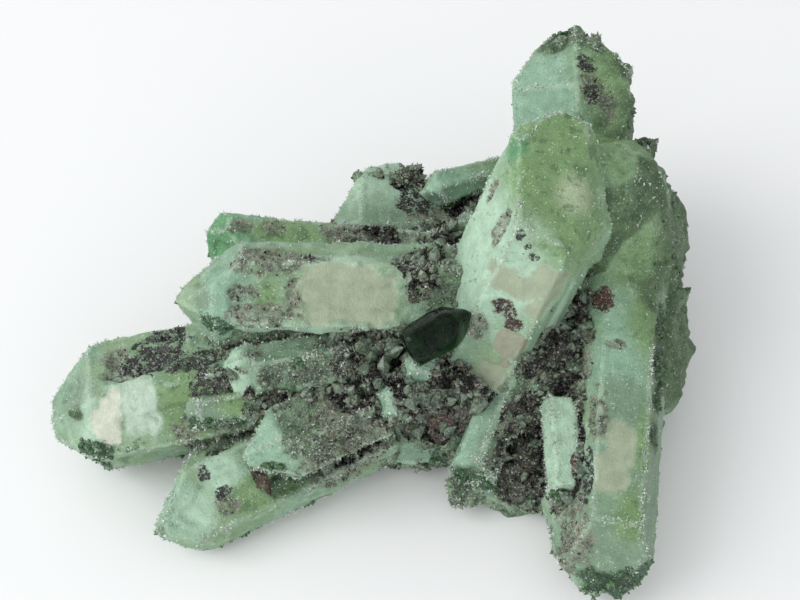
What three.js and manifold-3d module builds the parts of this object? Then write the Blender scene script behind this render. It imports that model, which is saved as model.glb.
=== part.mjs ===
// A skeletal green quartz cluster: stout six-sided crystals that grew together from one lumpy heart.
// Their faces are sunken inside raised rims, small crystals crust the flanks and ends, and the
// broken underside is flat. Millimetres, +Z up, +X along the cluster's longest spread, origin on
// the flat underside, below the heart.
import * as THREE from "three";
import { ConvexGeometry } from "three/addons/geometries/ConvexGeometry.js";
import { mergeVertices } from "three/addons/utils/BufferGeometryUtils.js";
import Module from "manifold-3d";

const wasm = await Module();
wasm.setup();

// Driving dimensions
const POINT_SLOPE = THREE.MathUtils.degToRad(51.8); // from a crystal's axis to the normal of an end face
const RIM_SHARE = 0.13; // raised rim round a sunken face, as a share of the crystal's width
const SINK_SHARE = 0.035; // depth of one step of a sunken face, as a share of the width
const LEAST_POCKET = 4; // narrower sunken faces are left flat
const ROUGHNESS = 0.1; // unevenness of the heart, as a share of its half size
const UNDERSIDE = 130; // half the side of the block that trims the underside
const WELD = 1e-3; // corners nearer than this are one corner

// The main crystals. root and tip are the ends of the axis, width and depth the size across,
// roll turns the crystal about its axis, taper is the width at the tip over that at the root,
// steps is how many steps its faces are sunken by, caps say how far each of the six end faces is
// cut back (null for none), and blunt how far below the tip the end is cut square, both as shares
// of the width.
const CRYSTALS = [
  {
    name: "left", root: [-14, -18, 27], tip: [-111.5, -36.5, 17.5], width: 41, depth: 32, roll: 8,
    taper: 0.94, steps: 2, caps: [0.05, 0.1, 0.08, 0.14, 0.06, 0.04], blunt: 0.28,
  },
  {
    name: "lower_left", root: [-6, -32, 17], tip: [-78, -68, 9], width: 30, depth: 18, roll: -34,
    taper: 0.95, steps: 1, caps: [0.05, 0.05, 0.15, 0.3, 0.3, 0.1],
  },
  {
    name: "front_left", root: [16, -9, 42], tip: [-69, -13, 51], width: 31, depth: 23, roll: -38,
    taper: 0.96, steps: 1, caps: [0.02, 0.05, 0.15, 0.1, 0.1, 0.04], blunt: 0.12,
  },
  {
    name: "back_left", root: [14, 7, 36], tip: [-67, 15, 39], width: 24, depth: 20, roll: -10,
    taper: 0.95, steps: 1, caps: [0.25, 0.1, 0, 0.2, 0.1, 0],
  },
  {
    name: "back", root: [3, 8, 18], tip: [-5, 53, 56], width: 55, depth: 34, roll: 15,
    taper: 0.7, steps: 0, caps: [0.08, 0.2, 0.15, 0.1, 0.15, 0.08], blunt: 0.1,
  },
  {
    name: "back_blade", root: [42, 48, 37], tip: [4, 26, 48], width: 11, depth: 9, roll: 0,
    taper: 1, steps: 0, caps: [0, 0.1, 0.2, 0, 0.1, 0.2],
  },
  {
    name: "back_blade_low", root: [44, 34, 36], tip: [14, 15, 43], width: 8, depth: 7, roll: 20,
    taper: 1, steps: 0, caps: [0.1, 0, 0.2, 0, 0.1, 0],
  },
  {
    name: "tall", root: [56, 9, 22], tip: [50, 73, 85], width: 41, depth: 39, roll: 19,
    taper: 0.96, steps: 0, caps: [0.08, 0.04, 0.04, 0.15, 0.16, 0.04], blunt: 0.21,
  },
  {
    name: "upright", root: [13, -28.5, 8], tip: [56.5, 19, 98.5], width: 38.5, depth: 38, roll: 30,
    taper: 0.96, steps: 0, caps: [0.03, 0.27, 0.25, 0.03, 0.11, 0.01], blunt: 0.29,
  },
  {
    name: "right", root: [69, 32, 46.5], tip: [53, -97, 9], width: 32, depth: 30, roll: -8,
    taper: 0.9, steps: 0, caps: [0.1, 0.2, 0, 0.1, 0.2, 0],
  },
  {
    name: "slim", root: [35.5, -20, 36], tip: [17, -59.5, 13.5], width: 14, depth: 13, roll: 10,
    taper: 1, steps: 0, caps: [0.1, 0.2, 0, 0.1, 0.2, 0],
  },
  {
    name: "blade", root: [45.5, -37, 32], tip: [46, -68.5, 21], width: 11, depth: 8, roll: 0,
    taper: 1, steps: 0, caps: [0, 0.2, 0.1, 0, 0.2, 0.1],
  },
  {
    name: "low_front", root: [46, -32, 16], tip: [54.5, -84, 7], width: 21, depth: 14, roll: 5,
    taper: 0.9, steps: 0, caps: [0.1, 0.2, 0, 0.1, 0.2, 0],
  },
  {
    name: "front_edge", root: [34, -35, 8], tip: [-14, -38, 8], width: 15, depth: 13, roll: 5,
    taper: 0.9, steps: 0, caps: [0.1, 0.2, 0, 0.1, 0.2, 0],
  },
  {
    name: "middle", root: [12, -20, 35], tip: [-55, -35, 38], width: 17, depth: 15, roll: 10,
    taper: 1, steps: 1, caps: [0.2, 0.1, 0, 0.2, 0.1, 0],
  },
  {
    name: "stub", root: [-8, -34, 26], tip: [-54, -62, 29], width: 24, depth: 18, roll: 0,
    taper: 1, steps: 1, caps: [0.35, 0.3, 0.3, 0.35, 0.3, 0.3], blunt: 0.5,
  },
  {
    name: "short", root: [-26, -32, 30], tip: [-70, -40, 28], width: 16, depth: 12, roll: 15,
    taper: 1, steps: 0, caps: [0.2, 0.1, 0.2, 0, 0.2, 0.1],
  },
  {
    name: "hopper", root: [18, -28, 32], tip: [-10, -44, 37], width: 14, depth: 13, roll: 0,
    taper: 1, steps: 1, caps: [0.1, 0, 0.1, 0.1, 0, 0.1], blunt: 0.45,
  },
  {
    name: "pale", root: [16, -22, 26], tip: [2, -37, 48], width: 10, depth: 9, roll: 10,
    taper: 1, steps: 0, caps: [0.1, 0, 0.1, 0.1, 0, 0.1],
  },
  {
    name: "dark", root: [2, -33, 50], tip: [23, -23, 57], width: 13, depth: 11, roll: 34,
    taper: 1, steps: 0, caps: [0.15, 0.1, 0.15, 0.1, 0.15, 0.1],
  },
  {
    name: "flank_high", root: [58, 24, 34], tip: [82, 47, 57], width: 26, depth: 22, roll: 10,
    taper: 0.9, steps: 0, caps: [0.2, 0.1, 0.2, 0.1, 0.2, 0.1], blunt: 0.4,
  },
  {
    name: "flank_mid", root: [62, 10, 28], tip: [92, 28, 47], width: 29, depth: 22, roll: 0,
    taper: 0.9, steps: 0, caps: [0.2, 0.1, 0.2, 0.1, 0.2, 0.1], blunt: 0.4,
  },
  {
    name: "flank_low", root: [62, 2, 24], tip: [91.5, 7, 38], width: 28, depth: 22, roll: 20,
    taper: 0.9, steps: 0, caps: [0.2, 0.1, 0.2, 0.1, 0.2, 0.1], blunt: 0.35,
  },
  {
    name: "rear", root: [46, 24, 20], tip: [58, 78, 18], width: 26, depth: 22, roll: 5,
    taper: 0.9, steps: 0, caps: [0.1, 0.2, 0, 0.1, 0.2, 0],
  },
  {
    name: "rear_left", root: [20, 18, 18], tip: [8, 62, 14], width: 20, depth: 17, roll: 10,
    taper: 0.9, steps: 0, caps: [0.1, 0.2, 0, 0.1, 0.2, 0],
  },
];

// Crusts of small crystals: a row from one point to another, standing out along a direction,
// strewn up to spread to each side of the row.
const CRUSTS = [
  {
    name: "flank", from: [74, 46, 55], to: [83, -2, 30], out: [1, 0.2, 0.4],
    spread: 7, count: 14, size: 6,
  },
  {
    name: "right_edge", from: [79, -4, 34], to: [70, -46, 23], out: [1, 0, 0.3],
    spread: 4, count: 8, size: 6,
  },
  {
    name: "right_tip", from: [53, -83, 6], to: [62, -80, 11], out: [0, -1, 0.3],
    spread: 3, count: 4, size: 5,
  },
  {
    name: "slim_tip", from: [15, -55, 9], to: [24, -55, 11], out: [0, -1, 0.2],
    spread: 2, count: 3, size: 5,
  },
  {
    name: "front", from: [-8, -40, 8], to: [24, -42, 8], out: [0, -1, 0.6],
    spread: 3, count: 6, size: 5,
  },
  {
    name: "tall_top", from: [46, 58, 80], to: [60, 56, 82], out: [0, 0.6, 1],
    spread: 2, count: 4, size: 4,
  },
  {
    name: "back_top", from: [-14, 36, 45], to: [7, 38, 46], out: [0, 0.6, 1],
    spread: 3, count: 7, size: 3.5,
  },
  {
    name: "heart", from: [-20, -34, 38], to: [20, -38, 40], out: [0, -0.6, 1],
    spread: 8, count: 6, size: 6,
  },
  {
    name: "belt", from: [55, -4, 46], to: [49, -36, 30], out: [-0.3, -0.5, 1],
    spread: 3, count: 7, size: 6,
  },
  {
    name: "slope", from: [2, -14, 52], to: [12, 16, 44], out: [-0.4, -0.5, 1],
    spread: 7, count: 10, size: 7,
  },
];

// Lumps of the heart that the crystals grew from: centre and half sizes.
const LUMPS = [
  { centre: [24, -13, 15], half: [50, 31, 27] },
  { centre: [66.5, -1, 17], half: [21.5, 34, 25] },
  { centre: [-6, -19, 14], half: [27, 19, 23] },
  { centre: [42, 26, 18], half: [34, 22, 28] },
  { centre: [35, -45, 6], half: [15, 12, 12] },
  { centre: [65.5, 17, 43], half: [20, 25, 19] },
];

const vec = (p) => new THREE.Vector3(...p);

// A repeatable value from 0 to 1 for any whole number.
const scatter = (n) => THREE.MathUtils.euclideanModulo(Math.sin(n * 12.9898) * 43758.5453, 1);

function welded(geometry) {
  const bare = geometry.clone();
  bare.deleteAttribute("normal");
  bare.deleteAttribute("uv");
  return mergeVertices(bare, WELD);
}

function toSolid(geometry) {
  const merged = welded(geometry);
  return new wasm.Manifold(new wasm.Mesh({
    numProp: 3,
    vertProperties: merged.attributes.position.array,
    triVerts: new Uint32Array(merged.index.array),
  }));
}

// The corners of the space behind every plane, found where three planes meet.
function cornersOf(planes) {
  const corners = [];
  for (let i = 0; i < planes.length; i++)
    for (let j = i + 1; j < planes.length; j++)
      for (let k = j + 1; k < planes.length; k++) {
        const [a, b, c] = [planes[i], planes[j], planes[k]];
        const bc = new THREE.Vector3().crossVectors(b.normal, c.normal);
        const ca = new THREE.Vector3().crossVectors(c.normal, a.normal);
        const ab = new THREE.Vector3().crossVectors(a.normal, b.normal);
        const volume = bc.dot(a.normal);
        if (Math.abs(volume) < 1e-4) continue;
        const corner = bc.multiplyScalar(a.reach).addScaledVector(ca, b.reach)
          .addScaledVector(ab, c.reach).divideScalar(volume);
        const inside = planes.every((p) => p.normal.dot(corner) <= p.reach + 1e-4);
        const fresh = corners.every((q) => q.distanceTo(corner) > WELD * 10);
        if (inside && fresh) corners.push(corner);
      }
  return corners;
}

const behind = (normal, point) => ({ normal, reach: normal.dot(point) });

// The faces of one crystal as planes: both ends, then six sides and six end faces by turns.
function crystalPlanes({ root, tip, width, depth, roll, taper, caps, blunt = 0 }) {
  const foot = vec(root);
  const apex = vec(tip);
  const axis = apex.clone().sub(foot).normalize();
  const across = new THREE.Vector3(0, 0, 1).cross(axis).normalize()
    .applyAxisAngle(axis, THREE.MathUtils.degToRad(roll));
  const over = new THREE.Vector3().crossVectors(axis, across);
  const lean = Math.atan(((1 - taper) * width) / 2 / foot.distanceTo(apex));
  const planes = [
    behind(axis.clone().negate(), foot),
    behind(axis, apex.clone().addScaledVector(axis, -blunt * width)),
  ];
  for (let side = 0; side < 6; side++) {
    const angle = THREE.MathUtils.degToRad(30 + 60 * side);
    const out = across.clone().multiplyScalar(Math.cos(angle)).addScaledVector(over, Math.sin(angle));
    const reach = side % 3 === 1 ? depth / 2 : (width / 2) * Math.cos(Math.PI / 6);
    const flank = out.clone().multiplyScalar(Math.cos(lean)).addScaledVector(axis, Math.sin(lean));
    planes.push(behind(flank, foot.clone().addScaledVector(out, reach)));
    if (caps[side] === null) continue;
    const end = out.clone().multiplyScalar(Math.sin(POINT_SLOPE))
      .addScaledVector(axis, Math.cos(POINT_SLOPE));
    planes.push(behind(end, apex.clone().addScaledVector(end, -caps[side] * width)));
  }
  return planes;
}

// The hollow in one face: inside a rim on every side, and sunk by the given depth.
function hollowSolid(planes, face, rim, sink) {
  const walls = planes.map((plane) => {
    if (plane === face) return { normal: plane.normal, reach: plane.reach + 1 };
    const turn = Math.sqrt(1 - Math.min(1, plane.normal.dot(face.normal) ** 2));
    return { normal: plane.normal, reach: plane.reach - rim * turn };
  });
  const floor = { normal: face.normal.clone().negate(), reach: sink - face.reach };
  const corners = cornersOf([...walls, floor]);
  if (corners.length < 6) return null;
  const size = new THREE.Box3().setFromPoints(corners).getSize(new THREE.Vector3());
  const middle = size.toArray().sort((a, b) => a - b)[1];
  return middle < LEAST_POCKET ? null : toSolid(new ConvexGeometry(corners));
}

function crystalSolid(crystal) {
  const { width, steps } = crystal;
  const planes = crystalPlanes(crystal);
  let solid = toSolid(new ConvexGeometry(cornersOf(planes)));
  for (const face of planes.slice(1))
    for (let step = 1; step <= steps; step++) {
      const hollow = hollowSolid(planes, face, step * RIM_SHARE * width, step * SINK_SHARE * width);
      if (hollow) solid = solid.subtract(hollow);
    }
  return solid;
}

function crustSolids({ from, to, out, spread, count, size }, row) {
  const start = vec(from);
  const end = vec(to);
  const outward = vec(out).normalize();
  const sideways = end.clone().sub(start).cross(outward).normalize();
  return Array.from({ length: count }, (_, i) => {
    const pick = (k) => scatter(row * 100 + i * 7 + k);
    const foot = start.clone().lerp(end, (i + pick(1)) / count)
      .addScaledVector(sideways, (2 * pick(2) - 1) * spread);
    const width = size * (0.7 + 0.6 * pick(3));
    const way = outward.clone()
      .add(new THREE.Vector3(pick(4) - 0.5, pick(5) - 0.5, pick(6) - 0.5).multiplyScalar(1.2)).normalize();
    const planes = crystalPlanes({
      root: foot.clone().addScaledVector(way, -1.3 * width).toArray(),
      tip: foot.clone().addScaledVector(way, 0.7 * width).toArray(),
      width, depth: width * 0.8, roll: 60 * pick(0), taper: 1, caps: [0, null, 0, null, 0, null],
    });
    return toSolid(new ConvexGeometry(cornersOf(planes)));
  });
}

function lumpSolid({ centre, half }, row) {
  const ball = welded(new THREE.IcosahedronGeometry(1, 2));
  const place = ball.attributes.position;
  for (let i = 0; i < place.count; i++) {
    const bump = 1 + ROUGHNESS * (2 * scatter(i + row * 1000) - 1);
    const p = new THREE.Vector3().fromBufferAttribute(place, i).multiplyScalar(bump);
    p.multiply(vec(half)).add(vec(centre));
    place.setXYZ(i, p.x, p.y, p.z);
  }
  return toSolid(ball);
}

// The triangles of a closed mesh without the skins of hollows sealed inside it, which enclose a
// negative volume. A skin is all the triangles that share corners with each other.
function withoutSealedHollows(corners, triangles) {
  const parent = Array.from({ length: corners.length / 3 }, (_, i) => i);
  const skinOf = (i) => {
    while (parent[i] !== i) i = parent[i] = parent[parent[i]];
    return i;
  };
  const volume = new Map();
  for (let t = 0; t < triangles.length; t += 3) {
    parent[skinOf(triangles[t + 1])] = skinOf(triangles[t]);
    parent[skinOf(triangles[t + 2])] = skinOf(triangles[t]);
  }
  for (let t = 0; t < triangles.length; t += 3) {
    const [a, b, c] = [0, 1, 2].map((k) => new THREE.Vector3().fromArray(corners, 3 * triangles[t + k]));
    const skin = skinOf(triangles[t]);
    volume.set(skin, (volume.get(skin) ?? 0) + a.dot(b.cross(c)));
  }
  return triangles.filter((_, i) => volume.get(skinOf(triangles[i - (i % 3)])) > 0);
}

function toGeometry(solid) {
  const { vertProperties, triVerts } = solid.getMesh();
  const geometry = new THREE.BufferGeometry();
  geometry.setAttribute("position", new THREE.BufferAttribute(vertProperties, 3));
  geometry.setIndex(new THREE.BufferAttribute(withoutSealedHollows(vertProperties, triVerts), 1));
  geometry.computeVertexNormals();
  return geometry;
}

const below = new THREE.BoxGeometry(2 * UNDERSIDE, 2 * UNDERSIDE, 2 * UNDERSIDE)
  .translate(0, 0, -UNDERSIDE);
const grown = [...CRYSTALS.map(crystalSolid), ...CRUSTS.flatMap(crustSolids), ...LUMPS.map(lumpSolid)];
const whole = grown.reduce((all, next) => all.add(next)).subtract(toSolid(below));

const greenQuartz = new THREE.MeshStandardMaterial({ color: 0x8fbf9a, roughness: 0.45, metalness: 0 });
const cluster = new THREE.Mesh(toGeometry(whole), greenQuartz);
cluster.name = "quartz_cluster";

const group = new THREE.Group();
group.add(cluster);
export default group;
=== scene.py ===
"""The look of a skeletal green quartz cluster: dense crystals with sunken faces inside raised rims,
a rough dark heart, and tens of thousands of small crystals that crust the ridges, ends and gaps.

Shapes and spots are given in millimetres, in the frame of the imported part, and are scaled to metres
when the meshes are made. Each crystal is a solid between flat planes, cut into a fine net whose
points then move and carry the shares of each marking, which the materials read.
"""

from collections import namedtuple
from functools import cached_property
import itertools
import math

import bmesh
import bpy
import numpy as np
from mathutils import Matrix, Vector


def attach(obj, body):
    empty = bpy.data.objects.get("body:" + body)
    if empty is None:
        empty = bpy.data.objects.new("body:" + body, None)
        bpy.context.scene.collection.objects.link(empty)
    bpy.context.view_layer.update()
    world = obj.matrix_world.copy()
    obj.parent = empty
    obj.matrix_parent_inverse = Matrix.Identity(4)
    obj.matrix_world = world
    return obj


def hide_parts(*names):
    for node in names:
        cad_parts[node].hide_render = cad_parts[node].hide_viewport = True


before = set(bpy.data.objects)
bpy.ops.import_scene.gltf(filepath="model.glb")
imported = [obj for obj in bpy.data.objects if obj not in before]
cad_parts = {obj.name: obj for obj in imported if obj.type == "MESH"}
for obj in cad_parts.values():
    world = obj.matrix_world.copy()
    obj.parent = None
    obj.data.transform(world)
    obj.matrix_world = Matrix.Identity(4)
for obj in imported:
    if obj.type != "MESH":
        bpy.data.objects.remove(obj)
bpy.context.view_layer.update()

MM = 0.001
NET = 0.8  # spacing of the net that a surface is cut into, mm
FINE_NET = 0.62  # the same for the small crystals
HEART_NET = 1.2  # the same for the heart, which is mostly hidden
SMALL = 17  # a crystal up to this width has the fine net, mm
WORN = 4  # how often a net is evened out, which rounds a crystal's edges
MELTING = 70  # how often it is evened out where crystals run into each other
CRUST_WORN = 2  # the same for the rows of small crystals
CLEAR_WORN = 26  # the same for the see-through crystal
HIDDEN = 4  # net further than this inside another solid is left out, mm
POINT_SLOPE = math.radians(51.8)  # from a crystal's axis to the normal of an end face
RIM_SHARE = 0.13  # raised rim round a sunken face, as a share of the crystal's width
SINK_SHARE = 0.035  # depth of one step of a sunken face, as a share of the width
SLOPE_WIDTH = 1.4  # width of the slope at each step, mm
RIM_WIDTH = 2.6  # width of the pale rim along a crystal's edges, mm
BEAD = 0.3  # mean height of the beads on that rim, mm
CRUMB = 0.5  # height of the crumbs where a crystal is gritty, mm
WINDOW_DEPTH = 0.4  # how far a smooth window lies below the coat, mm
WINDOW_SINK = 0.6  # share of a sunken face's depth that is added to that
GAP_REACH = 5  # the grit of the gaps ends this far from the next crystal, mm
LUMP_GRIT = 0.85  # share of that grit on the open lumps of the heart
CRUST_GRIT = 0.8  # the same for the rows of small crystals
GRAIN_LEAN = 0.45  # how much the strewn grains lean
GRAIN_ROOT = 0.4  # how deep they are set in, as a share of their width
COLUMN = 0.65  # height of a grain's column, as a share of the grain's
MOSTLY_SMALL = 2.5  # the higher, the more of the grains are small ones
FAR = 99.0  # stands for no edge nearby, mm
SAME_FACE = 0.2  # faces turned by less than this sine count as one
PARALLEL = 1e-4  # planes whose determinant is below this meet in no corner
WELD = 1e-3  # what is smaller than this counts as nothing
QUARTZ_IOR = 1.544
SCATTERING = (1, 1, 0.9)  # how far red, green and blue light scatter in quartz, as shares
FLOOR_HALF = 3  # half the side of the floor, m
TARGET = (0, 0, 0.03)  # the point that the camera and the lamp face, m
CAMERA_RISE = 52  # degrees above the floor
CAMERA_DISTANCE = 0.4  # m
SKY_GLOW = 1.15  # brightness of the studio's soft light near the floor
SKY_SLOPE = (-0.3, -0.3, -0.5)  # how that changes to the right, to the back and upwards

# Layers of soft swells: how strong each is, how wide in mm, and which of the random patterns.
FACE_SWELLS = [(0.45, 11, 3), (0.25, 4, 4), (0.12, 1.7, 5)]  # relief of every face, mm
LUMP_SWELLS = [(1.5, 9, 21), (1.4, 4.2, 22), (0.9, 2.1, 23)]  # and of lumps, mm
CLEAR_SWELLS = [(0.35, 3.5, 61)]  # relief of the see-through crystal, mm
RIM_WANDER = [(2.4, 8, 1), (0.9, 2.5, 2)]  # how the rims of sunken faces wander, mm
RAGGED = [(0.5, 5, 11), (0.35, 2.4, 12), (0.25, 1.2, 15)]  # borders of grit and windows
GENTLE = [(0.7, 7, 13), (0.3, 3, 14)]  # borders of the other markings

# The main crystals: ends of the axis, width and depth across, turn about the axis, width at the tip
# over that at the root, steps of any sunken faces, how far each of the six end faces is cut back
# and how far below the tip the end is cut square, both as shares of the width.
Crystal = namedtuple("Crystal", "root tip width depth roll taper steps caps blunt",
                     defaults=(1, 0, (0.1, 0.2, 0, 0.1, 0.2, 0), 0))
CRYSTALS = {
    "left": Crystal((-14, -18, 27), (-111.5, -36.5, 17.5), 41, 32, 8, taper=0.94, steps=2,
                    caps=(0.05, 0.1, 0.08, 0.14, 0.06, 0.04), blunt=0.28),
    "lower_left": Crystal((-6, -32, 17), (-78, -68, 9), 30, 18, -34, taper=0.95, steps=1,
                          caps=(0.05, 0.05, 0.15, 0.3, 0.3, 0.1)),
    "front_left": Crystal((16, -9, 42), (-69, -13, 51), 31, 23, -38, taper=0.96, steps=1,
                          caps=(0.02, 0.05, 0.15, 0.1, 0.1, 0.04), blunt=0.12),
    "back_left": Crystal((14, 7, 36), (-67, 15, 39), 24, 20, -10, taper=0.95, steps=1,
                         caps=(0.25, 0.1, 0, 0.2, 0.1, 0)),
    "back": Crystal((3, 8, 18), (-5, 53, 56), 55, 34, 15, taper=0.7,
                    caps=(0.08, 0.2, 0.15, 0.1, 0.15, 0.08), blunt=0.1),
    "back_blade": Crystal((42, 48, 37), (4, 26, 48), 11, 9, 0, caps=(0, 0.1, 0.2, 0, 0.1, 0.2)),
    "back_blade_low": Crystal((44, 34, 36), (14, 15, 43), 8, 7, 20, caps=(0.1, 0, 0.2, 0, 0.1, 0)),
    "tall": Crystal((56, 9, 22), (50, 73, 85), 41, 39, 19, taper=0.96,
                    caps=(0.08, 0.04, 0.04, 0.15, 0.16, 0.04), blunt=0.21),
    "upright": Crystal((13, -28.5, 8), (56.5, 19, 98.5), 38.5, 38, 30, taper=0.96,
                       caps=(0.03, 0.27, 0.25, 0.03, 0.11, 0.01), blunt=0.29),
    "right": Crystal((69, 32, 46.5), (53, -97, 9), 32, 30, -8, taper=0.9),
    "slim": Crystal((35.5, -20, 36), (17, -59.5, 13.5), 14, 13, 10),
    "blade": Crystal((45.5, -37, 32), (46, -68.5, 21), 11, 8, 0, caps=(0, 0.2, 0.1, 0, 0.2, 0.1)),
    "low_front": Crystal((46, -32, 16), (54.5, -84, 7), 21, 14, 5, taper=0.9),
    "front_edge": Crystal((34, -35, 8), (-14, -38, 8), 15, 13, 5, taper=0.9),
    "middle": Crystal((12, -20, 35), (-55, -35, 38), 17, 15, 10, steps=1,
                      caps=(0.2, 0.1, 0, 0.2, 0.1, 0)),
    "stub": Crystal((-8, -34, 26), (-54, -62, 29), 24, 18, 0, steps=1,
                    caps=(0.35, 0.3, 0.3, 0.35, 0.3, 0.3), blunt=0.5),
    "short": Crystal((-26, -32, 30), (-70, -40, 28), 16, 12, 15, caps=(0.2, 0.1, 0.2, 0, 0.2, 0.1)),
    "hopper": Crystal((18, -28, 32), (-10, -44, 37), 14, 13, 0, steps=1,
                      caps=(0.1, 0, 0.1, 0.1, 0, 0.1), blunt=0.45),
    "pale": Crystal((16, -22, 26), (2, -37, 48), 10, 9, 10, caps=(0.1, 0, 0.1, 0.1, 0, 0.1)),
    "flank_high": Crystal((58, 24, 34), (82, 47, 57), 26, 22, 10, taper=0.9,
                          caps=(0.2, 0.1, 0.2, 0.1, 0.2, 0.1), blunt=0.4),
    "flank_mid": Crystal((62, 10, 28), (92, 28, 47), 29, 22, 0, taper=0.9,
                         caps=(0.2, 0.1, 0.2, 0.1, 0.2, 0.1), blunt=0.4),
    "flank_low": Crystal((62, 2, 24), (91.5, 7, 38), 28, 22, 20, taper=0.9,
                         caps=(0.2, 0.1, 0.2, 0.1, 0.2, 0.1), blunt=0.35),
    "rear": Crystal((46, 24, 20), (58, 78, 18), 26, 22, 5, taper=0.9),
    "rear_left": Crystal((20, 18, 18), (8, 62, 14), 20, 17, 10, taper=0.9),
}
# The see-through crystal.
CLEAR = Crystal((2, -33, 50), (23, -23, 57), 13, 11, 34, caps=(0.15, 0.1, 0.15, 0.1, 0.15, 0.1))

# Lumps of the heart: centre and half sizes. The fillet joins the upright crystal to the flank.
LUMPS = {
    "lump_middle": ((24, -13, 15), (50, 31, 27)),
    "lump_right": ((66.5, -1, 17), (21.5, 34, 25)),
    "lump_left": ((-6, -19, 14), (27, 19, 23)),
    "lump_back": ((42, 26, 18), (34, 22, 28)),
    "lump_low": ((35, -45, 6), (15, 12, 12)),
    "shoulder": ((65.5, 17, 43), (20, 25, 19)),
    "fillet": ((62, 15, 53), (17, 21, 22)),
}
# These crystals run into each other without a seam and make one piece, as the heart's lumps do.
TRUNK = ("upright", "tall", "right", "shoulder", "fillet", "flank_high", "flank_mid", "flank_low")
HEART = ("lump_middle", "lump_right", "lump_left", "lump_back", "lump_low")
# Where the edges of such a piece melt away: centre and radius.
MELTED = [
    (56, -8, 68, 15), (58, 4, 74, 14), (64, 12, 58, 22), (72, 24, 50, 20),
    (62, -8, 46, 20), (70, 36, 60, 14),
]

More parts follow.
